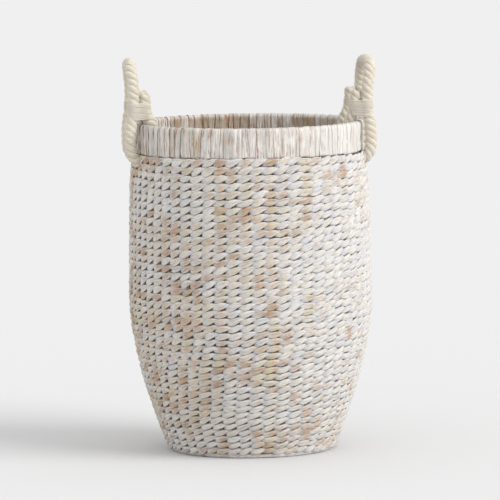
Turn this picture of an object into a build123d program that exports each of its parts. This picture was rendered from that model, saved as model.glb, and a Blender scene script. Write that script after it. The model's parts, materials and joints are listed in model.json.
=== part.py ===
from build123d import *
import math
import os

# Seagrass storage basket, in millimetres. The origin is the middle of the base, on the floor, +Z is up,
# the front faces -Y, and the two rope handles stand at -X (left) and +X (right).
# Twined wefts, with one node for each course, hold upright warp stakes. Leaf strips cover a rim hoop at the mouth.
# Each handle is one rope. It passes through the wall below the rim, and its ends come up inside.

# ---- driving dimensions ----
basket_height = 525.0
belly_radius = 195.0
base_radius = 133.0
belly_height = 240.0  # the height where the wall is widest
taper_power = 1.63  # how quickly the lower wall flares
upper_draw_in = 4.8  # how much the wall narrows from the belly up to the rim
upper_draw_power = 1.5

base_thickness = 7.0
binding_width = 11.0

course_count = 42
lowest_course_height = 10.0
rim_height = 47.0
rim_outer_radius = 182.0
rim_thickness = 10.0
rim_leaf = 1.3
hoop_thickness = 3.0
hoop_margin = 4.0

outer_strand = 6.2  # thickness of the strand that shows outside
inner_strand = 5.0
stake_radius = 1.6
stake_gap = 4.6  # room between the two strands of a course
strand_crown = 1.8  # how far a strand's middle stands out past its edges
rim_lean = 3.1  # how far the stakes lean in below the rim
rim_lean_start = 430.0

top_stakes = 60
added_offsets = (-6, -4, -2, 0, 2, 4, 6)  # stakes added at each side, counted from the side's middle
added_start = 40.0
added_step = 22.0
added_spread = 60.0  # height over which the wall makes room for an added stake
stake_levels = (45, 85, 125, 160, 190, 220, 255, 310, 370)  # heights where a stake follows the wall's curve
rope_push = 1.0  # degrees that the stakes beside a rope are pushed aside
push_reach = 0.5  # degrees past half a stake spacing that still count as beside a rope

rope_radius = 9.5
rope_azimuth = 15.0  # degrees from the side's middle to each leg of a handle
leg_offset = 198.0  # radius of the leg outside the rim
tail_offset = 160.4  # radius of the rope's end inside the rim
bound_leg_offset = 192.0  # radius of the leg where the whipping pulls it in
bound_tail_offset = 172.8
wall_turn = 15.0
lean_turn = 20.0
hinge_height = 582.0
tail_top = 571.0
loop_rise = 37.5  # from the hinge to the top of the loop's centreline
loop_turn = 35.0
loop_tilt = 6.0  # degrees that a loop leans outward as it stands
running_gap = 0.3
passage_gap = 0.4
passage_drop = 2.7  # how far below the rim a rope goes through the wall
whipping_wall = 2.2
whipping_bottom = 531.5
whipping_top = 561.5

rim_bottom = basket_height - rim_height
rim_inner_radius = rim_outer_radius - rim_thickness
weave_height = rim_bottom - base_thickness
mean_course_height = weave_height / course_count
course_growth = 2 * (mean_course_height - lowest_course_height) / (course_count - 1)
rope_passage_height = rim_bottom - rope_radius - passage_drop
lean_bottom = basket_height - 0.5  # a rope leans in towards the whipping between these heights
lean_top = whipping_bottom + 9.5


# ---- the wall's shape ----
def wall_radius(height):
    """Outer radius of the weave at a height."""
    if height < belly_height:
        flare = (1 - height / belly_height) ** taper_power
        return belly_radius - (belly_radius - base_radius) * flare
    rise = (height - belly_height) / (rim_bottom - belly_height)
    return belly_radius - upper_draw_in * rise**upper_draw_power


def stake_line_radius(height):
    """Radius of the stakes' centres, which lean in as they enter the rim."""
    lean = (min(height, rim_bottom) - rim_lean_start) / (rim_bottom - rim_lean_start)
    crest = wall_radius(min(height, rim_bottom))
    return crest - outer_strand - stake_gap / 2 - rim_lean * max(lean, 0)


def course_base(number):
    """Height of the bottom of a course; courses grow steadily from the base to the rim."""
    return base_thickness + number * lowest_course_height + course_growth * number * (number - 1) / 2


def turned(section_points):
    """A ring with the given section, as (radius, height) points."""
    outline = Polyline(*[(r, 0, z) for r, z in section_points], close=True)
    return revolve(make_face(outline), axis=Axis.Z)


# ---- base ----
def base_mat():
    return Cylinder(
        base_radius - binding_width - running_gap,
        base_thickness,
        align=(Align.CENTER, Align.CENTER, Align.MIN),
    )


def base_binding():
    inner = base_radius - binding_width
    return turned(
        [
            (inner, 0),
            (base_radius - strand_crown, 0),
            (base_radius, base_thickness / 2),
            (base_radius, base_thickness),
            (inner, base_thickness),
        ]
    )


# ---- woven courses ----
def strand_ring(bottom, top, back_radius, front_radius, crown):
    """One strand of a course: flat towards the stakes, crowned on the side that shows."""
    middle = (bottom + top) / 2
    return turned(
        [
            (back_radius(bottom), bottom),
            (front_radius(bottom) - crown, bottom),
            (front_radius(middle), middle),
            (front_radius(top) - crown, top),
            (back_radius(top), top),
        ]
    )


def outer_back(height):
    return stake_line_radius(height) + stake_gap / 2


def inner_back(height):
    return stake_line_radius(height) - stake_gap / 2


def inner_front(height):
    return inner_back(height) - inner_strand


def weave_course(number, passages):
    bottom = course_base(number)
    top = course_base(number + 1)
    strands = [
        strand_ring(bottom, top, outer_back, wall_radius, strand_crown),
        strand_ring(bottom, top, inner_back, inner_front, -strand_crown),
    ]
    if top > rope_passage_height - rope_radius:
        strands = [strand - passages for strand in strands]
    return Compound(children=[s for strand in strands for s in strand.solids()])


# ---- warp stakes ----
def added_stakes():
    """{index of a stake that starts above the base: the height where it starts}"""
    starts = {}
    for side in (0, top_stakes // 2):
        for order, offset in enumerate(added_offsets):
            scattered = (3 * order) % len(added_offsets)
            starts[(side + offset) % top_stakes] = added_start + added_step * scattered
    return starts


stake_starts = added_stakes()


def stake_share(index, height):
    """How much of a full stake's room this stake takes at a height, from 0 to 1."""
    if index not in stake_starts:
        return 1.0
    return min(max((height - stake_starts[index]) / added_spread, 0.0), 1.0)


def stake_azimuth(index, height):
    """Degrees from +X. The stakes share the wall evenly, and the front and back middle ones stay put."""
    shares = [stake_share(i, height) for i in range(top_stakes)]
    before = sum(shares[:index]) + shares[index] / 2
    angle = 360 * (before - shares[0] / 2) / sum(shares)
    beside = [side + lean for side in (0, 180, 360) for lean in (-rope_azimuth, rope_azimuth)]
    nearest = min(beside, key=lambda rope: abs(angle - rope))
    if abs(angle - nearest) < 180 / top_stakes + push_reach:
        push_start = rim_lean_start - rope_radius
        push_end = rope_passage_height - 2 * rope_radius
        rise = (height - push_start) / (push_end - push_start)
        angle += math.copysign(rope_push * min(max(rise, 0), 1), angle - nearest)
    return angle


def warp_stake(index):
    levels = [*stake_levels, rim_lean_start, rope_passage_height - rope_radius, rim_bottom]
    start = stake_starts.get(index, base_thickness)
    heights = [start] + [level for level in levels if level > start + added_step / 2]
    heights.append(basket_height - hoop_margin - stake_radius)
    sections = []
    for height in heights:
        angle = math.radians(stake_azimuth(index, height))
        radius = stake_line_radius(height)
        middle = Pos(radius * math.cos(angle), radius * math.sin(angle), height)
        sections.append(middle * Circle(stake_radius))
    return loft(sections, ruled=True)


def warp_stakes():
    rods = [warp_stake(index) for index in range(top_stakes)]
    return Compound(children=[solid for rod in rods for solid in rod.solids()])


# ---- rim ----
def rim_wrap():
    """Leaf strips folded over the hoop and the stakes: a band with a round top, open at the bottom."""
    crown = basket_height - rim_thickness / 2
    middle = rim_inner_radius + rim_thickness / 2
    outer_arc = ((rim_outer_radius, 0, crown), (middle, 0, basket_height), (rim_inner_radius, 0, crown))
    inner_arc = (
        (rim_inner_radius + rim_leaf, 0, crown),
        (middle, 0, basket_height - rim_leaf),
        (rim_outer_radius - rim_leaf, 0, crown),
    )
    outline = ThreePointArc(*outer_arc)
    outline += Polyline(
        (rim_inner_radius, 0, crown),
        (rim_inner_radius, 0, rim_bottom),
        (rim_inner_radius + rim_leaf, 0, rim_bottom),
        (rim_inner_radius + rim_leaf, 0, crown),
    )
    outline += ThreePointArc(*inner_arc)
    outline += Polyline(
        (rim_outer_radius - rim_leaf, 0, crown),
        (rim_outer_radius - rim_leaf, 0, rim_bottom),
        (rim_outer_radius, 0, rim_bottom),
        (rim_outer_radius, 0, crown),
    )
    return revolve(make_face(outline), axis=Axis.Z)


def rim_hoop():
    inner = rim_inner_radius + rim_leaf + passage_gap / 4
    bottom = rim_bottom + hoop_margin
    top = basket_height - rim_thickness / 2
    outer = inner + hoop_thickness
    return turned([(inner, bottom), (outer, bottom), (outer, top), (inner, top)])


# ---- rope handles ----
def radial_plane(azimuth):
    """A plane through the basket's axis: local X points outward along the azimuth, local Y points up."""
    angle = math.radians(azimuth)
    outward = (math.cos(angle), math.sin(angle), 0)
    across = (math.sin(angle), -math.cos(angle), 0)
    return Plane(origin=(0, 0, 0), x_dir=outward, z_dir=across)


def rope_end_route():
    """From the top of the leg, down outside, through the wall and up inside to the cut end."""
    corners = [
        (bound_leg_offset, hinge_height - rope_radius - running_gap),
        (bound_leg_offset, lean_top),
        (leg_offset, lean_bottom),
        (leg_offset, rope_passage_height),
        (tail_offset, rope_passage_height),
        (tail_offset, lean_bottom),
        (bound_tail_offset, lean_top),
        (bound_tail_offset, tail_top),
    ]
    turns = [lean_turn, lean_turn, wall_turn, wall_turn, lean_turn, lean_turn]
    return FilletPolyline(*corners, radius=turns)


def rope_end(azimuth, radius=rope_radius):
    path = radial_plane(azimuth) * rope_end_route()
    section = Plane(origin=path @ 0, z_dir=path % 0) * Circle(radius)
    return sweep(section, path=path)


def whipping(azimuth):
    """The cord wound around the leg and the cut end, above the rim."""
    middle = (bound_leg_offset + bound_tail_offset) / 2
    width = 2 * (rope_radius + whipping_wall)
    angle = math.radians(azimuth)
    place = Plane(
        origin=(middle * math.cos(angle), middle * math.sin(angle), whipping_bottom),
        x_dir=(math.cos(angle), math.sin(angle), 0),
        z_dir=(0, 0, 1),
    )
    around = SlotCenterToCenter(bound_leg_offset - bound_tail_offset, width)
    sleeve = extrude(place * around, amount=whipping_top - whipping_bottom)
    return sleeve - rope_end(azimuth, rope_radius + passage_gap / 4)


def handle_loop(side):
    """The part of a handle that folds: an arch of rope with a round end at each hinge point."""
    half_width = bound_leg_offset * math.sin(math.radians(rope_azimuth))
    plane_offset = side * bound_leg_offset * math.cos(math.radians(rope_azimuth))
    corners = [(-half_width, 0), (-half_width, loop_rise), (half_width, loop_rise), (half_width, 0)]
    arch = FilletPolyline(*corners, radius=[loop_turn, loop_turn])
    path = Plane(origin=(0, 0, 0), x_dir=(0, 1, 0), z_dir=(1, 0, 0)) * arch
    section = Plane(origin=path @ 0, z_dir=path % 0) * Circle(rope_radius)
    loop = sweep(section, path=path)
    for end in (-half_width, half_width):
        loop += Pos(0, end, 0) * Sphere(rope_radius)
    return Pos(plane_offset, 0, hinge_height) * Rot(0, side * loop_tilt, 0) * loop


# ---- write one file for each node ----
def ropes():
    """{name: azimuth} of the four places where a rope goes through the wall."""
    return {
        "left_front": 180 + rope_azimuth,
        "left_rear": 180 - rope_azimuth,
        "right_front": -rope_azimuth,
        "right_rear": rope_azimuth,
    }


def basket():
    nodes = {"base_mat": base_mat(), "base_binding": base_binding(), "warp_stakes": warp_stakes()}
    passages = [rope_end(azimuth, rope_radius + passage_gap) for azimuth in ropes().values()]
    for number in range(course_count):
        nodes[f"weave_course_{number + 1:02d}"] = weave_course(number, passages)
    nodes["rim_hoop"] = rim_hoop()
    nodes["rim_wrap"] = rim_wrap()
    for name, azimuth in ropes().items():
        nodes[f"{name}_rope_end"] = rope_end(azimuth)
        nodes[f"{name}_whipping"] = whipping(azimuth)
    nodes["left_handle_loop"] = handle_loop(-1)
    nodes["right_handle_loop"] = handle_loop(1)
    return nodes


os.makedirs("parts", exist_ok=True)
for node_name, shape in basket().items():
    export_step(shape, f"parts/{node_name}.step")
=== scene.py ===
import json
import math

import bmesh
import bpy
import numpy as np
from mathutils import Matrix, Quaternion, Vector


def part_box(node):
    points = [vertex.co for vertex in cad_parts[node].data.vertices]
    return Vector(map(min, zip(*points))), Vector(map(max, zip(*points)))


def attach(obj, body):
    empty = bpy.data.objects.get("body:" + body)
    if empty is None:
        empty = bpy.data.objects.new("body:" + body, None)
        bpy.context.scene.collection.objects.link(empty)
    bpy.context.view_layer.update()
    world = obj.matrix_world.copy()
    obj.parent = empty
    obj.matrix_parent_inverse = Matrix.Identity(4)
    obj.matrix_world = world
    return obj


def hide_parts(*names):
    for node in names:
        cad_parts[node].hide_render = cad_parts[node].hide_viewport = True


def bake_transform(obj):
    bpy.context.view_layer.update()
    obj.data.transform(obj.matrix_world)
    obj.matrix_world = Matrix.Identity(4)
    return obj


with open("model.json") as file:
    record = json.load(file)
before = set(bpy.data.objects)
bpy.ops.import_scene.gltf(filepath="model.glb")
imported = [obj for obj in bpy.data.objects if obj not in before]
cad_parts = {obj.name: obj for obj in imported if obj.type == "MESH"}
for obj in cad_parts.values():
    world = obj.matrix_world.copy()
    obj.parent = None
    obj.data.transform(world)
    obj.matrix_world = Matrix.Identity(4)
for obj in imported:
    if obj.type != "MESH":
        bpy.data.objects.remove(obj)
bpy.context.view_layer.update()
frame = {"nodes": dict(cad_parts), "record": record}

# Lengths are in metres. The front of the basket faces -Y, and the handles stand at -X and +X.
#
# Every woven or twisted mesh carries four attributes for its material:
#   fibre  how far a point is along and around its strand or strip, and that strand's tone
#   depth  0 deep between the strands, 1 on the surface that is seen; the materials paint shade where it is
#   low
#   rib    1 on the brownest stitches and strips, and on the single fibres of a rope's cut end
#   place  a number that differs from stitch to stitch and from strip to strip

# ---- sizes read from the frame ----
COURSES = sorted(name for name in frame["nodes"] if name.startswith("weave_course_"))
RIM_LOW, RIM_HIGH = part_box("rim_wrap")
BINDING_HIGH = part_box("base_binding")[1]
MAT_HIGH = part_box("base_mat")[1]
rim_top = RIM_HIGH[2]
rim_bottom = RIM_LOW[2]
rim_radius = RIM_HIGH[0]
base_top = MAT_HIGH[2]
course_boxes = [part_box(name) for name in COURSES]
crest_heights = [(low[2] + high[2]) / 2 for low, high in course_boxes]
crest_radii = [high[0] for low, high in course_boxes]
joints = {joint["name"]: joint for joint in frame["record"]["behaviour"]["joints"]}
hinge_height = joints["right_handle_fold"]["pos_m"][2]

# ---- the weave's own measures ----
STRAND_OUT = 0.0085  # from the stakes' line to the outer crest of a stitch
STRAND_IN = 0.0073  # from the stakes' line to the inner crest
HALF_THICK = 0.0030  # half the thickness of a strand
TOP_STAKES = 60  # around the top of the wall
ADDED_OFFSETS = (-6, -4, -2, 0, 2, 4, 6)  # the stakes that start higher, counted from each side
ADDED_START = 0.040  # the lowest of them starts at this height
ADDED_STEP = 0.022
ADDED_SPREAD = 0.060  # an added stake has its full share of the wall this far above its start
RIM_LEAN = 0.0031  # the stakes lean in by this much under the rim
RIM_LEAN_START = 0.430
STITCH_REACH = 0.67  # half a stitch's visible length, in stake spacings
ALONG = 12  # rings of points of a strand for each stake
AROUND = 20  # points of each ring
SQUARENESS = 0.82  # below 1 a strand's section is a little squared
BASE_ALONG = 6
BASE_AROUND = 8

# ---- the rim's and the foot's measures ----
FOLD = 0.005  # half the thickness of the rim
LEAF = 0.0007  # thickness of a leaf strip
LEAF_INSET = 0.0008  # a strip's lowest part lies this far inside the CAD's rim
HUB_RADIUS = 0.012  # the middle of the base, where the spokes cross
HUB_INSET = 0.0012
SPOKE_SPACING = 0.017
EDGE_DEEP = 0.011  # the bound edge at the foot, from its inner side to the CAD's outer side
EDGE_INSET = 0.0028  # and how far inside that outer side its own lies

rng = np.random.default_rng(7)


# ---- meshes ----
def new_object(name, points, faces, attributes=None, closed=True):
    """A mesh with numbers or vectors at its points. A closed one is smooth."""
    mesh = bpy.data.meshes.new(name)
    mesh.from_pydata([tuple(p) for p in points], [], [tuple(f) for f in faces])
    for key, values in (attributes or {}).items():
        values = np.asarray(values, float)
        if values.ndim == 1:
            layer = mesh.attributes.new(key, "FLOAT", "POINT")
            layer.data.foreach_set("value", values)
        else:
            layer = mesh.attributes.new(key, "FLOAT_VECTOR", "POINT")
            layer.data.foreach_set("vector", values.ravel())
    if closed:
        # all faces of a closed piece are turned outward
        shell = bmesh.new()
        shell.from_mesh(mesh)
        bmesh.ops.recalc_face_normals(shell, faces=shell.faces)
        shell.to_mesh(mesh)
        shell.free()
    mesh.polygons.foreach_set("use_smooth", [closed] * len(mesh.polygons))
    mesh.update()
    piece = bpy.data.objects.new(name, mesh)
    bpy.context.scene.collection.objects.link(piece)
    return piece


def ring_faces(rows, columns, closed=False):
    """Quads between rings of points, ring after ring. A closed one joins the last ring to the first."""
    last_row = rows if closed else rows - 1
    i, j = np.meshgrid(np.arange(last_row), np.arange(columns), indexing="ij")
    i, j = i.ravel(), j.ravel()
    i2, j2 = (i + 1) % rows, (j + 1) % columns
    corners = [i * columns + j, i2 * columns + j, i2 * columns + j2, i * columns + j2]
    return np.stack(corners, axis=1).tolist()


def capped_faces(rows, columns):
    """Faces of a tube made of rings of points, closed at both ends."""
    faces = ring_faces(rows, columns)
    faces.append(list(range(columns))[::-1])
    faces.append([(rows - 1) * columns + k for k in range(columns)])
    return faces


def circle(count):
    """Angles of evenly spaced points round a circle."""
    return np.linspace(0, 2 * math.pi, count, endpoint=False)


def round_and_up(radius, angle, height):
    """Points at a radius, an angle and a height about the basket's axis."""
    return np.stack([radius * np.cos(angle), radius * np.sin(angle), height], axis=-1)


def unit(vectors):
    """Vectors of length 1."""
    return vectors / np.maximum(np.linalg.norm(vectors, axis=-1, keepdims=True), 1e-12)


def join(parts):
    """Several (points, faces, attributes) as one."""
    points, faces, attributes = [], [], {}
    count = 0
    for p, f, a in parts:
        points.append(p)
        faces += [[v + count for v in face] for face in f]
        for key, values in a.items():
            attributes.setdefault(key, []).append(values)
        count += len(p)
    return np.concatenate(points), faces, {k: np.concatenate(v) for k, v in attributes.items()}


def surface_attributes(shape, along, around, tone, depth=1.0, rib=0.0, place=0.0):
    """The attributes of a grid of points, from values for each ring, each point or all of it."""
    values = [np.broadcast_to(value, shape).ravel() for value in (along, around, tone, depth, rib, place)]
    return {"fibre": np.stack(values[:3], axis=1), "depth": values[3], "rib": values[4], "place": values[5]}


def distance_along(path):
    """How far each point of a path is from its start."""
    return np.concatenate([[0], np.cumsum(np.linalg.norm(np.diff(path, axis=0), axis=1))])


def tangents(path, closed=False):
    """The direction of a path at each of its points."""
    if closed:
        return unit(np.roll(path, -1, axis=0) - np.roll(path, 1, axis=0))
    return unit(np.gradient(path, axis=0))


# ---- where the stakes stand ----
def stake_starts():
    """The height at which each added stake starts, by its number."""
    starts = {}
    for side in (0, TOP_STAKES // 2):
        for order, offset in enumerate(ADDED_OFFSETS):
            scattered = (3 * order) % len(ADDED_OFFSETS)
            starts[(side + offset) % TOP_STAKES] = ADDED_START + ADDED_STEP * scattered
    return starts


STARTS = stake_starts()


def stakes_at(height):
    """(index, azimuth in degrees) of each stake that a course at this height twines around."""
    share = np.ones(TOP_STAKES)
    for index, start in STARTS.items():
        share[index] = min(max((height - start) / ADDED_SPREAD, 0), 1)
    angle = 360 * (np.cumsum(share) - share / 2 - share[0] / 2) / share.sum()
    standing = np.flatnonzero(share > 0)
    return standing, angle[standing]


def crest_radius(height):
    """Radius of the wall's outer crests."""
    return float(np.interp(height, crest_heights, crest_radii))


def stake_line(height):
    """Radius of the line on which the stakes stand."""
    lean = max((min(height, rim_bottom) - RIM_LEAN_START) / (rim_bottom - RIM_LEAN_START), 0)
    return crest_radius(height) - STRAND_OUT - RIM_LEAN * lean


# ---- twined courses ----
# the stakes whose stitches are flatter and browner, and how much
RIBS = {42: 0.6, 46: 0.8, 49: 0.7, 53: 0.4, 11: 0.6, 20: 0.5, 2: 0.4, 31: 0.6, 26: 0.4}


def strand(height, pitch, standing, azimuths, turn, row):
    """One of the two strands of a course. turn is 0 or 1: the first strand shows at even stakes."""
    count = len(standing)
    steps = count * ALONG
    u = np.arange(steps) / ALONG
    wrapped = np.concatenate([azimuths, [azimuths[0] + 360]])
    angle = np.radians(np.interp(u, np.arange(count + 1), wrapped))
    phase = math.pi * (u + turn)
    # the outer pass of a strand is longer than its inner pass, so neighbouring stitches overlap
    outer_stake = np.round((u + turn) / 2) * 2 - turn
    aside = u - outer_stake
    stake = np.where(np.abs(aside) > STITCH_REACH, outer_stake + np.sign(aside), outer_stake)
    stitch = stake.astype(int) % count
    local = u - stake
    # each stitch has its own size, height and tone
    size = rng.normal(1.0, 0.07, count)[stitch]
    lift = rng.normal(0.0, 0.045, count)[stitch] * np.cos(math.pi * local) ** 2
    slant = np.clip(rng.normal(0.92, 0.14, count), 0.4, 1.3)[stitch]
    tone = rng.random(count)[stitch]
    rib = np.array([RIBS.get(int(i), 0.0) for i in standing])
    rib_row = np.clip(np.sin(row * 0.31 + standing * 1.7) * 1.2 + 0.75, 0, 1)
    rib = (rib * rib_row)[stitch]
    # a stitch ends on top of the start of the next one, so it turns in a little late
    bias = -math.cos(math.pi * STITCH_REACH)
    swing = np.cos(phase - 0.06) + bias
    shown = (np.clip(swing, 0, None) / (1 + bias)) ** 0.32
    hidden = (np.clip(-swing, 0, None) / (1 - bias)) ** 0.6
    swing = shown - hidden
    reach = np.where(swing > 0, STRAND_OUT - HALF_THICK, STRAND_IN - HALF_THICK)
    radius = stake_line(height) + reach * swing * (0.5 + 0.5 * np.clip(size, 0.8, 1.08))
    climb = 0.28 * pitch * slant * (1 - 0.7 * rib)
    z = height + climb * np.sin(phase) + lift * pitch
    z += 0.0010 * np.sin(3 * angle + 0.3 * row) + 0.0006 * np.sin(11 * angle + 0.7 * row)
    path = round_and_up(radius, angle, z)
    tangent = tangents(path, True)
    outward = round_and_up(1.0, angle, np.zeros(steps))
    slope = (crest_radius(height + pitch / 2) - crest_radius(height - pitch / 2)) / pitch
    up = unit(round_and_up(slope, angle, np.ones(steps)))
    up = unit(up - (up * tangent).sum(1, keepdims=True) * tangent)
    out = np.cross(tangent, up)
    out *= np.sign((out * outward).sum(1, keepdims=True))
    bulge = np.abs(np.cos(phase)) ** 0.7
    half_high = pitch * (0.280 + 0.155 * bulge - 0.085 * np.sin(phase)) * size
    half_thick = HALF_THICK * (0.78 + 0.22 * bulge)
    turn_round = circle(AROUND)
    c, s = np.cos(turn_round), np.sin(turn_round)
    c = np.sign(c) * np.abs(c) ** SQUARENESS
    s = np.sign(s) * np.abs(s) ** SQUARENESS
    lumps = 1 + 0.05 * rng.standard_normal((steps, AROUND))
    crease = np.ones((steps, AROUND))
    for _ in range(2):
        crease_at = rng.uniform(-0.7, 0.7, count)[stitch] + rng.normal(0, 0.5, count)[stitch] * local
        crease_deep = rng.uniform(0.10, 0.50, count)[stitch]
        off_crease = np.sin(turn_round)[None] - crease_at[:, None]
        crease -= crease_deep[:, None] * np.exp(-(off_crease**2) / 0.05)
    points = (
        path[:, None]
        + out[:, None] * (half_thick[:, None] * c[None] * lumps * crease)[..., None]
        + up[:, None] * (half_high[:, None] * s[None])[..., None]
    )
    depth = np.outer(shown, np.clip(c, 0, 1)) + np.outer(hidden, np.clip(-c, 0, 1))
    place = stitch + 61.0 * turn + 131.0 * row
    attributes = surface_attributes(
        (steps, AROUND), local[:, None], s, tone[:, None], depth, rib[:, None], place[:, None]
    )
    return points.reshape(-1, 3), ring_faces(steps, AROUND, True), attributes


def weave_courses():
    """A pair of twining strands for each course of the wall."""
    pieces = []
    for row, (name, (low, high)) in enumerate(zip(COURSES, course_boxes)):
        height = (low[2] + high[2]) / 2
        pitch = high[2] - low[2]
        standing, azimuths = stakes_at(height)
        azimuths = azimuths + rng.normal(0, 0.07 * 360 / len(azimuths), len(azimuths))
        pair = [strand(height, pitch, standing, azimuths, turn, row) for turn in (0, 1)]
        piece = new_object(f"twined_{name}", *join(pair))
        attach(piece, "basket")
        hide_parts(name)
        pieces.append(piece)
    return pieces


# ---- rim ----
def rim_leaves(strips=92, across=12, along=46):
    """Flat leaf strips folded over the rim, each one lapping its neighbour."""
    # the line that every strip follows: up outside the rim, over it and down inside
    crown = rim_top - FOLD
    side = crown - rim_bottom
    arc = math.pi * FOLD
    t = np.linspace(0, 1, along)
    distance = t * (2 * side + arc)
    bend = np.clip((distance - side) / arc, 0, 1) * math.pi
    out_r, out_z = np.cos(bend), np.sin(bend)
    radial = rim_radius - FOLD + FOLD * out_r
    v = np.linspace(-0.5, 0.5, across)
    edge = np.concatenate([v, v[::-1]])
    parts = []
    for strip in range(strips):
        ragged = rng.uniform(-0.0012, 0.0012) * (1 - t)
        z = np.where(distance < side, rim_bottom + distance + ragged, crown + FOLD * out_z)
        z = np.where(distance > side + arc, crown - (distance - side - arc), z)
        width = 2 * math.pi / strips * rng.uniform(1.2, 2.1)
        centre = 2 * math.pi * strip / strips + rng.normal(0, 0.010)
        lean = rng.normal(0, 0.012)
        ridge = rng.uniform(0.2, 0.9) * 0.0008
        ridge_at = rng.uniform(-0.3, 0.3)
        ripple = rng.uniform(0, 6.28, 4)
        drift = 0.010 * np.sin(2.1 * t * 3.1 + ripple[0]) + 0.006 * np.sin(7 * t + ripple[1])
        swell = 1 + 0.10 * np.sin(5 * t + ripple[2])
        angle = centre + lean * (t - 0.5)[:, None] + width * v[None] * swell[:, None]
        angle = angle + drift[:, None] * 0.25
        # the surface climbs over the neighbour and carries a ridge, veins and slow waves
        rise = 0.0001 + 0.0014 * (v + 0.5)[None] * np.ones((along, 1))
        rise = rise + ridge * np.exp(-((v - ridge_at) ** 2) / 0.02)[None]
        rise = rise + 0.00032 * np.sin(24 * v[None] + 3 * np.sin(4 * t[:, None] + ripple[0]) + ripple[3])
        rise = rise + 0.0003 * np.sin(23 * t[:, None] + 5 * v[None] + ripple[1])
        layers = []
        for thickness in (0.0, -LEAF):
            reach = rise + thickness - LEAF_INSET
            r = radial[:, None] + out_r[:, None] * reach
            layers.append(round_and_up(r, angle, z[:, None] + out_z[:, None] * reach))
        # front face, then back face in reverse, as one closed loop of points across
        loop = np.concatenate([layers[0], layers[1][:, ::-1]], axis=1)
        shape = (along, len(edge))
        tone = rng.random()
        attributes = surface_attributes(shape, t[:, None], edge, tone, rib=rng.random(), place=strip)
        parts.append((loop.reshape(-1, 3), capped_faces(*shape), attributes))
    piece = new_object("rim_leaf_strips", *join(parts))
    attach(piece, "basket")
    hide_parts("rim_wrap")
    return piece


# ---- base ----
def base_weave(rings=10):
    """The flat base: rings of twining around spokes, closed by a hub in the middle."""
    outer = MAT_HIGH[0] - 0.0005
    pitch = (outer - HUB_RADIUS) / rings
    turn_round = circle(BASE_AROUND)
    c, s = np.cos(turn_round), np.sin(turn_round)
    parts = []
    for ring in range(rings):
        radius = HUB_RADIUS + pitch * (ring + 0.5)
        count = max(8, 2 * round(math.pi * radius / SPOKE_SPACING))
        for turn in (0, 1):
            steps = count * BASE_ALONG
            u = np.arange(steps) / BASE_ALONG
            stitch = np.round(u).astype(int) % count
            angle = 2 * math.pi * u / count + 0.37 * ring
            phase = math.pi * (u + turn)
            size = rng.normal(1, 0.06, count)[stitch]
            tone = rng.random(count)[stitch]
            r = radius + 0.24 * pitch * np.sin(phase)
            path = round_and_up(r, angle, base_top / 2 + 0.0016 * np.cos(phase))
            out = round_and_up(1.0, angle, np.zeros(steps))
            bulge = np.abs(np.cos(phase)) ** 0.8
            wide = pitch * (0.24 + 0.26 * bulge) * size
            points = path[:, None] + out[:, None] * (wide[:, None] * c[None])[..., None]
            points = points + np.array([0, 0, 1.0]) * (0.0018 * s)[None, :, None]
            points[..., 2] = np.clip(points[..., 2], 0.0, base_top)
            shape = (steps, BASE_AROUND)
            depth = np.outer(bulge, np.abs(s))
            place = (np.round(u) + 300.0 * ring)[:, None]
            along = (u - np.round(u))[:, None]
            attributes = surface_attributes(shape, along, c, tone[:, None], depth, 0.45, place)
            parts.append((points.reshape(-1, 3), ring_faces(*shape, closed=True), attributes))
    parts.append(disc(HUB_RADIUS + 0.2 * pitch, HUB_INSET, base_top - HUB_INSET, 32))
    piece = new_object("base_twining", *join(parts))
    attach(piece, "basket")
    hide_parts("base_mat")
    return piece


def disc(radius, bottom, top, sides, soft=0.0012):
    """A closed round plate with soft edges."""
    angle = circle(sides)
    levels = [(radius * 0.9, bottom), (radius, bottom + soft), (radius, top - soft), (radius * 0.9, top)]
    points = np.concatenate([round_and_up(r, angle, np.full(sides, z)) for r, z in levels])
    flat = np.zeros(len(points))
    attributes = {"fibre": points * 40, "depth": flat + 1, "rib": flat + 0.5, "place": flat}
    return points, capped_faces(len(levels), sides), attributes


def bound_edge(sides=360):
    """The plain strip around the foot of the wall."""
    inner = BINDING_HIGH[0] - EDGE_DEEP
    outer = BINDING_HIGH[0] - EDGE_INSET
    height = BINDING_HIGH[2]
    # the strip's section, as radius and height: along the underside, up the outside and back
    section = [
        (inner, 0.0006),
        (inner + 0.002, 0.0),
        (outer - 0.004, 0.0),
        (outer - 0.0012, 0.0008),
        (outer, 0.0028),
        (outer + 0.0004, 0.0048),
        (outer - 0.0006, height),
        (inner + 0.002, height),
        (inner, height - 0.001),
    ]
    angle = circle(sides)
    wave = 0.0005 * np.sin(9 * angle) + 0.0004 * np.sin(23 * angle + 1)
    lines = []
    for r, z in section:
        waved_r = r + wave * (r > inner + 0.003)
        waved_z = z + 0.3 * wave * (z > 0.002)
        lines.append(round_and_up(waved_r, angle, waved_z))
    points = np.stack(lines, axis=1)
    shape = (sides, len(section))
    along = (angle * outer / 0.02)[:, None]
    attributes = surface_attributes(
        shape, along, np.linspace(-1, 1, len(section)), 0.3, rib=0.25, place=np.floor(along / 6)
    )
    faces = ring_faces(*shape, closed=True)
    piece = new_object("bound_edge", points.reshape(-1, 3), faces, attributes)
    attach(piece, "basket")
    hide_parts("base_binding")
    return piece


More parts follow.
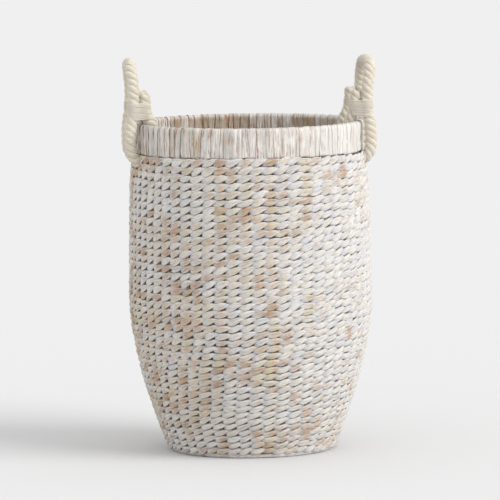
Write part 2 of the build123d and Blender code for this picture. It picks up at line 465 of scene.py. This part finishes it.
# ---- rope handles ----
loop_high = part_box("right_handle_loop")[1]
end_low, end_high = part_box("right_rear_rope_end")
bound_low, bound_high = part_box("right_rear_whipping")
ROPE_RADIUS = 0.0095
ROPE_LAY = 0.031  # length of rope in which a strand goes once round
FIBRE_RADIUS = 0.00045
CORD_RADIUS = 0.00135  # the whipping's cord
CORD_LAY = 0.0075
ROPE_AZIMUTH = math.radians(15)  # how far round the rim a leg stands from its side's middle
FACING = math.cos(ROPE_AZIMUTH)
WHIPPING_BOTTOM, WHIPPING_TOP = bound_low[2], bound_high[2]
TAIL_TOP = end_high[2]
PASSAGE = end_low[2] + ROPE_RADIUS  # the rope goes through the wall at this height
BOUND_LEG = joints["right_handle_fold"]["pos_m"][0] / FACING
BOUND_TAIL = BOUND_LEG - 0.0180  # under the whipping, the cut end lies against the leg
LEG = BOUND_LEG + 0.0060  # below it the leg stands outside the rim
TAIL = rim_radius - 0.0216  # and the cut end inside
LOOP_TOP = loop_high[2] - ROPE_RADIUS
LOOP_LEAN = loop_high[0] - ROPE_RADIUS - BOUND_LEG * FACING
LEAN_BOTTOM = rim_top - 0.0005  # the ropes lean in towards the whipping between these heights
LEAN_TOP = WHIPPING_BOTTOM + 0.0095


def spline_points(control_points, step=0.0012):
    """Evenly spaced points on a smooth curve steered by the control points."""
    data = bpy.data.curves.new("route", "CURVE")
    data.dimensions = "3D"
    data.resolution_u = 24
    spline = data.splines.new("NURBS")
    spline.points.add(len(control_points) - 1)
    for point, place in zip(spline.points, control_points):
        point.co = (*place, 1.0)
    spline.order_u = 3
    spline.use_endpoint_u = True
    route = bpy.data.objects.new("route", data)
    mesh = bpy.data.meshes.new_from_object(route)
    line = np.array([vertex.co[:] for vertex in mesh.vertices])
    bpy.data.objects.remove(route)
    bpy.data.curves.remove(data)
    bpy.data.meshes.remove(mesh)
    length = distance_along(line)
    at = np.linspace(0, length[-1], int(length[-1] / step))
    return np.stack([np.interp(at, length, line[:, k]) for k in range(3)], axis=1)


def handle_path(side, twist):
    """The middle of a handle's rope, from one cut end to the other."""
    leg = [
        (BOUND_TAIL, TAIL_TOP),
        (BOUND_TAIL, LEAN_TOP),
        (TAIL, LEAN_BOTTOM),
        (TAIL, PASSAGE),
        (LEG, PASSAGE),
        (LEG, LEAN_BOTTOM),
        (BOUND_LEG, LEAN_TOP),
        (BOUND_LEG, WHIPPING_TOP + 0.006),
    ]
    ends = []
    for angle in (-ROPE_AZIMUTH, ROPE_AZIMUTH):
        ends.append([(side * r * math.cos(angle), r * math.sin(angle), z) for r, z in leg])
    half = BOUND_LEG * math.sin(ROPE_AZIMUTH)
    foot = side * BOUND_LEG * FACING
    crown = foot + side * LOOP_LEAN
    arch = [
        (foot, -half, hinge_height),
        (crown, -0.8 * half, LOOP_TOP - 0.006),
        (crown, -0.36 * half, LOOP_TOP),
    ]
    arch += [(x, -y, z) for x, y, z in arch[::-1]]
    path = spline_points(ends[0] + arch + ends[1][::-1])
    # the loop as a whole is turned a little about its middle
    above = np.clip((path[:, 2] - WHIPPING_TOP) / (LOOP_TOP - WHIPPING_TOP), 0, 1)
    angle = twist * above * above * (3 - 2 * above)
    dx, y = path[:, 0] - foot, path[:, 1].copy()
    path[:, 0] = foot + dx * np.cos(angle) - y * np.sin(angle)
    path[:, 1] = dx * np.sin(angle) + y * np.cos(angle)
    return path


def carried_frames(path):
    """Two directions across a path that turn as little as they can along it."""
    tangent = tangents(path)
    first = unit(np.cross(tangent[0], [0.3, 1.0, 0.2]))
    normals = [first]
    for t in tangent[1:]:
        n = normals[-1] - np.dot(normals[-1], t) * t
        normals.append(n / np.linalg.norm(n))
    normals = np.array(normals)
    return normals, np.cross(tangent, normals)


def twisted_rope(path, radius, strands, lay, around=20, yarns=7, handed=1):
    """Strands laid round each other, each with fine yarns on its surface."""
    normal, across = carried_frames(path)
    length = distance_along(path)
    strand_radius = radius * 0.495
    offset = radius - strand_radius
    shape = (len(path), around)
    w = circle(around)
    parts = []
    for k in range(strands):
        angle = handed * 2 * math.pi * length / lay + 2 * math.pi * k / strands
        middle = path + offset * (normal * np.cos(angle)[:, None] + across * np.sin(angle)[:, None])
        t = tangents(middle)
        out = unit(middle - path - ((middle - path) * t).sum(1, keepdims=True) * t)
        side = np.cross(t, out)
        spin = -handed * 2 * math.pi * length / (lay * 0.62)
        yarn_angle = w[None] + spin[:, None]
        ripple = 1 + 0.075 * np.abs(np.cos(yarn_angle * yarns / 2))
        swell = 1 + 0.02 * np.sin(length * 90 + 2 * k)
        r = strand_radius * 0.955 * ripple * swell[:, None]
        # 0 at a cut end and 1 a little way in, for ends that are rounded off and not in a groove
        ends = np.clip(np.minimum(length, length[-1] - length) / 0.004, 0.0, 1) ** 0.5
        r = r * (0.72 + 0.28 * ends)[:, None]
        # the strands press on each other, so each is a little wider than it is deep
        points = middle[:, None] + out[:, None] * (r * np.cos(w)[None])[..., None]
        points = points + side[:, None] * (r * 1.08 * np.sin(w)[None])[..., None]
        depth = np.maximum(np.clip(np.cos(w), 0, 1)[None], 1 - ends[:, None])
        along = (length * 60)[:, None]
        attributes = surface_attributes(
            shape, along, yarn_angle / (2 * math.pi), k / strands, depth, place=k
        )
        parts.append((points.reshape(-1, 3), capped_faces(*shape), attributes))
    return join(parts)


def tube(path, radius, around):
    """A plain round tube with flat ends."""
    normal, across = carried_frames(path)
    w = circle(around)
    ring = normal[:, None] * np.cos(w)[None, :, None] + across[:, None] * np.sin(w)[None, :, None]
    points = (path[:, None] + radius * ring).reshape(-1, 3)
    flat = np.zeros(len(points))
    attributes = {"fibre": points * 200, "depth": flat + 1, "rib": flat + 1, "place": flat}
    return points, capped_faces(len(path), around), attributes


def frayed_end(middle, axis, fibres=110):
    """Short loose fibres on a rope's cut end."""
    across = unit(np.cross(axis, [0.3, 1.0, 0.2]))
    beside = np.cross(axis, across)
    parts = []
    for _ in range(fibres):
        angle = rng.uniform(0, 2 * math.pi)
        reach = ROPE_RADIUS * 0.88 * math.sqrt(rng.random())
        aside = across * math.cos(angle) + beside * math.sin(angle)
        start = middle + aside * reach - axis * 0.002
        length = rng.uniform(0.0006, 0.0024)
        fan = aside * reach * rng.uniform(-0.30, 0.05)
        t = np.linspace(0, 1, 4)[:, None]
        path = start + axis * length * t + fan * t**2
        parts.append(tube(path, FIBRE_RADIUS, 5))
    return parts


def handle_rope(side_name, side, twist):
    """One rope from cut end to cut end, with the core that its strands lie round."""
    path = handle_path(side, twist)
    parts = [twisted_rope(path, ROPE_RADIUS, 3, ROPE_LAY, handed=-1), tube(path, ROPE_RADIUS * 0.4, 10)]
    parts += frayed_end(path[0], unit(path[0] - path[1]))
    parts += frayed_end(path[-1], unit(path[-1] - path[-2]))
    piece = new_object(f"{side_name}_handle_rope", *join(parts))
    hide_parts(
        f"{side_name}_handle_loop",
        f"{side_name}_front_rope_end",
        f"{side_name}_rear_rope_end",
    )
    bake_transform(piece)
    return piece


def oval_walk(share, half, round_radius):
    """Places on an oval of two straight sides and two half rounds, by share of the way round."""
    straight = 2 * half
    quarter = math.pi * round_radius
    walked = share * 2 * (straight + quarter)
    along = np.empty_like(walked)
    beside = np.empty_like(walked)
    first = walked < straight
    bend_out = (walked >= straight) & (walked < straight + quarter)
    second = (walked >= straight + quarter) & (walked < 2 * straight + quarter)
    bend_in = walked >= 2 * straight + quarter
    along[first] = walked[first] - half
    beside[first] = -round_radius
    turned = (walked[bend_out] - straight) / round_radius - math.pi / 2
    along[bend_out] = half + round_radius * np.cos(turned)
    beside[bend_out] = round_radius * np.sin(turned)
    along[second] = half - (walked[second] - straight - quarter)
    beside[second] = round_radius
    turned = (walked[bend_in] - 2 * straight - quarter) / round_radius + math.pi / 2
    along[bend_in] = -half + round_radius * np.cos(turned)
    beside[bend_in] = round_radius * np.sin(turned)
    return along, beside


def whipping(side_name, side, end_name, end_sign, turns=11, per_turn=110):
    """Cord wound round a leg and the rope's cut end."""
    cord = CORD_RADIUS
    angle = end_sign * ROPE_AZIMUTH
    outward = np.array([side * math.cos(angle), math.sin(angle), 0.0])
    sideways = np.array([-outward[1], outward[0], 0.0])
    middle = outward * (BOUND_LEG + BOUND_TAIL) / 2
    half = (BOUND_LEG - BOUND_TAIL) / 2
    t = np.arange(turns * per_turn + 1) / per_turn
    along, beside = oval_walk(t % 1.0, half, ROPE_RADIUS * 0.95 + cord * 0.6)
    # the first and last turns are tighter, and all are drawn in between the two ropes
    soft_ends = 1 - 0.13 * np.abs(2 * t / turns - 1) ** 4
    waist = 1 - 0.09 * np.exp(-((along / (0.7 * half)) ** 2))
    path = (
        middle[None]
        + outward[None] * (along * soft_ends)[:, None]
        + sideways[None] * (beside * waist * soft_ends)[:, None]
    )
    path[:, 2] = WHIPPING_BOTTOM + cord + (WHIPPING_TOP - WHIPPING_BOTTOM - 2 * cord) * t / turns
    path[:, 2] += 0.00015 * np.sin(1.3 * 2 * math.pi * t)
    strands, around = 2, 6
    points, faces, attributes = twisted_rope(path, cord, strands, CORD_LAY, around=around, yarns=0)
    # the cord gets painted shade where it turns in towards the ropes and its neighbours
    facing = unit(np.cross(tangents(path), [0, 0, 1.0]))
    reach = points.reshape(strands, len(path), around, 3) - path[None, :, None]
    attributes["depth"] = np.clip((reach * facing[None, :, None]).sum(-1) / cord, 0, 1).ravel()
    piece = new_object(f"{side_name}_{end_name}_whipping_cord", points, faces, attributes)
    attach(piece, "basket")
    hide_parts(f"{side_name}_{end_name}_whipping")
    return piece


# ---- materials ----
class Nodes:
    """A material's node tree, with short ways to add and join nodes."""

    def __init__(self, name):
        self.material = bpy.data.materials.new(name)
        self.material.use_nodes = True
        self.tree = self.material.node_tree
        self.shader = self.tree.nodes["Principled BSDF"]

    def add(self, kind, **settings):
        node = self.tree.nodes.new(kind)
        for key, value in settings.items():
            setattr(node, key, value)
        return node

    def link(self, source, target):
        self.tree.links.new(source, target)

    def attribute(self, name):
        """A mesh attribute that is one number."""
        return self.add("ShaderNodeAttribute", attribute_name=name).outputs["Fac"]

    def position(self):
        """The point's place in the piece's own coordinates, in metres."""
        return self.add("ShaderNodeTexCoord").outputs["Object"]

    def fibre(self):
        """The texture coordinate that runs along and around a strand."""
        return self.add("ShaderNodeAttribute", attribute_name="fibre").outputs["Vector"]

    def strand_coordinates(self, place_step):
        """along, around and tone, and a texture coordinate that differs from strand to strand."""
        split = self.add("ShaderNodeSeparateXYZ")
        self.link(self.fibre(), split.inputs[0])
        along, around, tone = split.outputs
        combine = self.add("ShaderNodeCombineXYZ")
        self.link(along, combine.inputs[0])
        self.link(around, combine.inputs[1])
        self.link(self.math("MULTIPLY", self.attribute("place"), place_step), combine.inputs[2])
        return along, around, tone, combine.outputs[0]

    def math(self, operation, a, b=None):
        """One math node. a and b are numbers or sockets."""
        node = self.add("ShaderNodeMath", operation=operation)
        for socket, value in zip(node.inputs, (a, b)):
            if value is None:
                continue
            if isinstance(value, (int, float)):
                socket.default_value = value
            else:
                self.link(value, socket)
        return node.outputs[0]

    def weighted(self, *terms):
        """The sum of sockets, each times its weight."""
        total = None
        for socket, weight in terms:
            part = self.math("MULTIPLY", socket, weight)
            total = part if total is None else self.math("ADD", total, part)
        return total

    def rest(self, socket):
        """1 minus the socket."""
        return self.math("SUBTRACT", 1.0, socket)

    def noise(self, vector, scale, detail=3.0, roughness=0.55, stretch=None):
        """Noise from 0 to 1, finer along the axes that are stretched more."""
        if stretch:
            mapping = self.add("ShaderNodeMapping")
            mapping.inputs["Scale"].default_value = stretch
            self.link(vector, mapping.inputs["Vector"])
            vector = mapping.outputs[0]
        node = self.add("ShaderNodeTexNoise")
        node.inputs["Scale"].default_value = scale
        node.inputs["Detail"].default_value = detail
        node.inputs["Roughness"].default_value = roughness
        self.link(vector, node.inputs["Vector"])
        return node.outputs["Fac"]

    def ramp(self, value, low, high):
        """0 below low, 1 above high, and a soft step between."""
        node = self.add("ShaderNodeMapRange", interpolation_type="SMOOTHSTEP")
        node.inputs["From Min"].default_value = low
        node.inputs["From Max"].default_value = high
        self.link(value, node.inputs["Value"])
        return node.outputs["Result"]

    def mix(self, mask, a, b):
        """Colour a where the mask is 0 and colour b where it is 1."""
        node = self.add("ShaderNodeMix", data_type="RGBA")
        self.link(mask, node.inputs[0])
        for socket, value in ((node.inputs[6], a), (node.inputs[7], b)):
            if isinstance(value, tuple):
                socket.default_value = (*value, 1.0)
            else:
                self.link(value, socket)
        return node.outputs[2]

    def tint(self, colour, mask, strength, other):
        """The colour, turned part of the way to another one where the mask is 1."""
        return self.mix(self.math("MULTIPLY", mask, strength), colour, other)

    def lit_side_whitening(self, where):
        """0 on the basket's left and 1 on its right: painted light, whiter colour on the side where the key
        light falls.
        """
        sides = self.add("ShaderNodeSeparateXYZ")
        self.link(where, sides.inputs[0])
        return self.ramp(sides.outputs[0], 0.0, 0.15)

    def finish(self, colour, roughness, height, distance, strength=0.6, sheen=0.0):
        """Joins colour, roughness and relief to the shader."""
        self.link(colour, self.shader.inputs["Base Color"])
        if isinstance(roughness, (int, float)):
            self.shader.inputs["Roughness"].default_value = roughness
        else:
            self.link(roughness, self.shader.inputs["Roughness"])
        self.shader.inputs["Specular IOR Level"].default_value = 0.28
        self.shader.inputs["Sheen Weight"].default_value = sheen
        self.shader.inputs["Sheen Roughness"].default_value = 0.5
        bump = self.add("ShaderNodeBump")
        bump.inputs["Strength"].default_value = strength
        bump.inputs["Distance"].default_value = distance
        self.link(height, bump.inputs["Height"])
        self.link(bump.outputs[0], self.shader.inputs["Normal"])
        return self.material


# colours of the leaf, from whitewashed to bare, and of the painted shade on it, as linear red, green and
# blue
WHITE = (0.865, 0.855, 0.84)
CREAM = (0.71, 0.67, 0.605)
TAN = (0.62, 0.41, 0.235)
BROWN = (0.42, 0.21, 0.095)
OLIVE = (0.66, 0.575, 0.385)
SHADE = (0.31, 0.30, 0.31)
COOL = (0.64, 0.66, 0.73)
GREY = (0.50, 0.47, 0.44)
INSIDE_SHADE_AND_STAIN = (0.33, 0.24, 0.15)
STRIP_GAP_SHADE = (0.17, 0.125, 0.09)
# and of the cotton, with the painted shade of its grooves
ROPE_LIGHT = (0.79, 0.74, 0.645)
ROPE_DARK = (0.62, 0.555, 0.44)
TWINE_LIGHT = (0.96, 0.915, 0.815)
TWINE_DARK = (0.88, 0.82, 0.70)
SOIL = (0.62, 0.52, 0.38)
GROOVE_SHADE_COLOUR = (0.36, 0.29, 0.20)


def seagrass_material(name, tan_bias):
    """Whitewashed twine with bare patches, dark and grey lines, painted shade between the strands and
    painted light that whitens the basket's right side.
    """
    n = Nodes(name)
    depth = n.attribute("depth")
    rib = n.attribute("rib")
    where = n.position()
    along, around, tone, grain_at = n.strand_coordinates(3.7)
    patches = n.noise(where, 11.0, 2.0)
    small_patches = n.noise(where, 48.0, 3.0)
    streaks = n.noise(grain_at, 1.0, 4.0, 0.6, (1.4, 3.2, 1.0))
    fine = n.noise(grain_at, 1.0, 5.0, 0.7, (2.6, 9.0, 1.0))
    blue = n.noise(where, 70.0, 2.0)
    # how much of the whitewash has come off: more on a stitch's middle than at its ends and edges, and less
    # on the basket's right, which is painted light where the key light falls
    stitch_end = n.math("POWER", n.math("ABSOLUTE", n.math("MULTIPLY", along, 2.0)), 2.0)
    stitch_edge = n.math("POWER", n.math("ABSOLUTE", around), 3.0)
    bare = n.weighted(
        (patches, 0.85),
        (tone, 0.27),
        (small_patches, 0.60),
        (rib, 0.20),
        (streaks, 0.40),
        (stitch_end, -0.22),
        (stitch_edge, -0.20),
        (n.lit_side_whitening(where), -0.19),
    )
    bare = n.ramp(n.math("ADD", bare, tan_bias), 0.80, 1.27)
    base = n.mix(n.ramp(fine, 0.38, 0.62), CREAM, WHITE)
    base = n.tint(base, n.ramp(blue, 0.48, 0.64), 0.6, COOL)
    hue = n.mix(n.ramp(n.noise(where, 30.0, 2.0), 0.38, 0.54), TAN, OLIVE)
    hue = n.mix(n.ramp(n.math("MULTIPLY", tone, streaks), 0.30, 0.55), hue, BROWN)
    colour = n.tint(base, bare, 0.85, hue)
    dark_lines = n.ramp(n.noise(grain_at, 1.0, 3.0, 0.6, (1.6, 5.0, 1.0)), 0.57, 0.66)
    colour = n.tint(colour, dark_lines, 0.55, BROWN)
    grey_lines = n.ramp(n.noise(grain_at, 1.0, 3.0, 0.6, (1.1, 4.2, 1.3)), 0.50, 0.62)
    colour = n.tint(colour, grey_lines, 0.5, GREY)
    # painted shade between the strands, where depth is low
    hollow = n.rest(n.ramp(depth, 0.0, 0.48))
    colour = n.tint(colour, hollow, 0.78, SHADE)
    height = n.weighted((streaks, 0.7), (fine, 0.6))
    roughness = n.math("ADD", 0.62, n.math("MULTIPLY", fine, 0.25))
    return n.finish(colour, roughness, height, 0.0022, 0.9, 0.12)


def leaf_material():
    """Flat leaf strips: veined and stained, barer inside the rim than outside, with painted shade along
    their lapped edges and inside the rim, and painted light that whitens the basket's right side.
    """
    n = Nodes("rim leaf strips")
    rib = n.attribute("rib")
    where = n.position()
    along, around, tone, at = n.strand_coordinates(5.3)
    veins = n.noise(at, 1.0, 5.0, 0.65, (2.0, 11.0, 1.0))
    wrinkles = n.noise(at, 1.0, 4.0, 0.6, (16.0, 5.0, 1.0))
    wide = n.noise(at, 1.0, 3.0, 0.5, (2.4, 4.0, 1.0))
    patches = n.noise(where, 14.0, 2.0)
    # along is 0 at a strip's outer lower end and 1 at its inner one
    inside = n.ramp(along, 0.52, 0.62)
    # painted light: fewer bare patches, lines and grey on the basket's right, where the key light falls,
    # and all of them inside the rim
    away_from_light_and_inside = n.rest(n.math("MULTIPLY", n.lit_side_whitening(where), 0.75))
    away_from_light_and_inside = n.math("MAXIMUM", away_from_light_and_inside, inside)
    bare = n.weighted((wide, 0.8), (tone, 0.38), (patches, 0.5), (inside, 0.22))
    bare = n.math("MULTIPLY", bare, n.math("ADD", n.math("MULTIPLY", away_from_light_and_inside, 0.30), 0.70))
    bare = n.ramp(bare, 0.87, 1.24)
    base = n.mix(n.ramp(veins, 0.38, 0.66), CREAM, WHITE)
    hue = n.mix(n.ramp(rib, 0.3, 0.9), TAN, BROWN)
    hue = n.mix(n.ramp(patches, 0.52, 0.64), hue, OLIVE)
    colour = n.tint(base, bare, 0.8, hue)
    lines = n.ramp(n.noise(at, 1.0, 4.0, 0.7, (3.0, 7.0, 1.0)), 0.50, 0.62)
    stained = n.ramp(n.noise(where, 22.0, 2.0), 0.34, 0.54)
    speckle = n.ramp(n.noise(at, 1.0, 5.0, 0.75, (9.0, 9.0, 1.0)), 0.34, 0.48)
    stained = n.math("MULTIPLY", stained, speckle)
    lines = n.math("MULTIPLY", n.math("MULTIPLY", lines, stained), away_from_light_and_inside)
    colour = n.mix(lines, colour, BROWN)
    grey = n.ramp(n.noise(at, 1.0, 3.0, 0.6, (1.0, 4.5, 1.7)), 0.46, 0.58)
    colour = n.tint(colour, n.math("MULTIPLY", grey, away_from_light_and_inside), 0.66, GREY)
    # painted shade inside the rim, on top of the leaf's own browner stain there, stronger on some strips
    inside_shade_and_stain = n.math("MULTIPLY", inside, n.ramp(tone, 0.15, 0.75))
    colour = n.tint(colour, inside_shade_and_stain, 0.55, INSIDE_SHADE_AND_STAIN)
    # painted shade in the gaps where one strip laps the next, along each strip's edges
    strip_edge_shade = n.ramp(n.math("ABSOLUTE", around), 0.43, 0.50)
    colour = n.tint(colour, strip_edge_shade, 0.80, STRIP_GAP_SHADE)
    # the whitewash is worn along the fold at the top of the rim
    off_fold = n.math("ABSOLUTE", n.math("SUBTRACT", n.math("MULTIPLY", along, 2.0), 1.0))
    fold = n.math("ADD", n.rest(off_fold), n.math("MULTIPLY", wide, 0.06))
    colour = n.tint(colour, n.ramp(fold, 0.93, 0.99), 0.5, GREY)
    height = n.math("ADD", veins, n.math("MULTIPLY", wrinkles, 0.8))
    roughness = n.math("ADD", 0.5, n.math("MULTIPLY", wrinkles, 0.3))
    return n.finish(colour, roughness, height, 0.0022, 0.85, 0.05)


def rope_material(name, light, dark, grain, relief, groove_shade):
    """Cotton yarns, a little soiled, with painted shade in the grooves between the strands."""
    n = Nodes(name)
    where = n.position()
    yarn = n.noise(n.fibre(), 1.0, 4.0, 0.6, (0.8, 16.0, 2.0))
    fuzz = n.noise(where, grain, 4.0, 0.7)
    soil = n.noise(where, 35.0, 3.0)
    colour = n.mix(n.ramp(yarn, 0.3, 0.7), dark, light)
    colour = n.tint(colour, n.ramp(soil, 0.5, 0.75), 0.4, SOIL)
    # painted shade in the grooves between the strands, where depth is low
    groove = n.rest(n.ramp(n.attribute("depth"), 0.0, 0.75))
    colour = n.tint(colour, groove, groove_shade, GROOVE_SHADE_COLOUR)
    # single fibres, where rib is 1, are too thin to carry the yarns' relief
    height = n.math("ADD", yarn, n.math("MULTIPLY", fuzz, 0.6))
    height = n.math("MULTIPLY", height, n.rest(n.attribute("rib")))
    return n.finish(colour, 0.85, height, relief, 0.8, 0.25)


def cane_material():
    """Bare cane for the stakes and the hoop inside the rim."""
    n = Nodes("cane")
    grain = n.noise(n.position(), 1.0, 5.0, 0.6, (900.0, 900.0, 40.0))
    colour = n.mix(n.ramp(grain, 0.35, 0.65), (0.46, 0.31, 0.17), (0.62, 0.47, 0.30))
    return n.finish(colour, 0.6, grain, 0.0004, 0.5)


def assign(piece, material):
    """Give a piece one material."""
    piece.data.materials.clear()
    piece.data.materials.append(material)


# ---- staging ----
def floor():
    """A wide, pale, matt floor."""
    material = bpy.data.materials.new("floor")
    material.use_nodes = True
    shader = material.node_tree.nodes["Principled BSDF"]
    shader.inputs["Base Color"].default_value = (0.69, 0.69, 0.69, 1)
    shader.inputs["Roughness"].default_value = 1.0
    shader.inputs["Specular IOR Level"].default_value = 0.0
    size = 30.0
    points = [(-size, -size, 0), (size, -size, 0), (size, size, 0), (-size, size, 0)]
    plane = new_object("floor", points, [(0, 1, 2, 3)], closed=False)
    plane.data.materials.append(material)


def sun(name, direction, strength, spread, colour):
    """A far, soft light that shines along a direction."""
    data = bpy.data.lights.new(name, "SUN")
    data.energy = strength
    data.angle = math.radians(spread)
    data.color = colour
    light = bpy.data.objects.new(name, data)
    light.rotation_euler = Vector(direction).to_track_quat("-Z", "Y").to_euler()
    bpy.context.scene.collection.objects.link(light)


def lights():
    """A soft sun from the upper right front and an even pale surround."""
    sun("key", (-1.10, 0.66, -0.86), 1.94, 40, (1.0, 0.995, 0.99))
    world = bpy.data.worlds.new("studio")
    world.use_nodes = True
    background = world.node_tree.nodes["Background"]
    background.inputs["Color"].default_value = (0.985, 0.985, 0.99, 1)
    background.inputs["Strength"].default_value = 0.93
    bpy.context.scene.world = world
    bpy.context.scene.view_settings.view_transform = "Standard"


def camera():
    """A long lens a little above the basket, as the photo was taken."""
    distance = 7.4
    picture_width = 0.800  # at the basket
    sensor = 36
    yaw = math.radians(-4.5)
    pitch = math.radians(5.5)
    roll = math.radians(-0.7)
    target = Vector((0.0, 0.0, 0.318))
    level = math.cos(pitch)
    direction = Vector((math.sin(yaw) * level, -math.cos(yaw) * level, math.sin(pitch)))
    data = bpy.data.cameras.new("camera")
    data.sensor_width = sensor
    data.lens = sensor * distance / picture_width
    data.clip_end = 100
    eye = bpy.data.objects.new("camera", data)
    eye.location = target + direction * distance
    look = (target - eye.location).to_track_quat("-Z", "Y")
    eye.rotation_mode = "QUATERNION"
    eye.rotation_quaternion = look @ Quaternion((0, 0, 1), roll)
    bpy.context.scene.collection.objects.link(eye)
    bpy.context.scene.camera = eye


# ---- build ----
camera()
floor()
lights()
weave = seagrass_material("whitewashed seagrass", 0.0)
base_grass = seagrass_material("base seagrass", 0.12)
leaf = leaf_material()
rope = rope_material("cotton rope", ROPE_LIGHT, ROPE_DARK, grain=900.0, relief=0.0012, groove_shade=0.72)
twine = rope_material("cotton twine", TWINE_LIGHT, TWINE_DARK, grain=1500.0, relief=0.0002, groove_shade=0.42)
cane = cane_material()

for piece in weave_courses():
    assign(piece, weave)
strips = rim_leaves()
assign(strips, leaf)
for piece in (base_weave(), bound_edge()):
    assign(piece, base_grass)
for side_name, side, twist in (("left", -1, 0.0), ("right", 1, math.radians(4))):
    handle = handle_rope(side_name, side, twist)
    assign(handle, rope)
    for end_name, end_sign in (("front", -1), ("rear", 1)):
        cord = whipping(side_name, side, end_name, end_sign)
        assign(cord, twine)
for name in ("warp_stakes", "rim_hoop"):
    assign(frame["nodes"][name], cane)
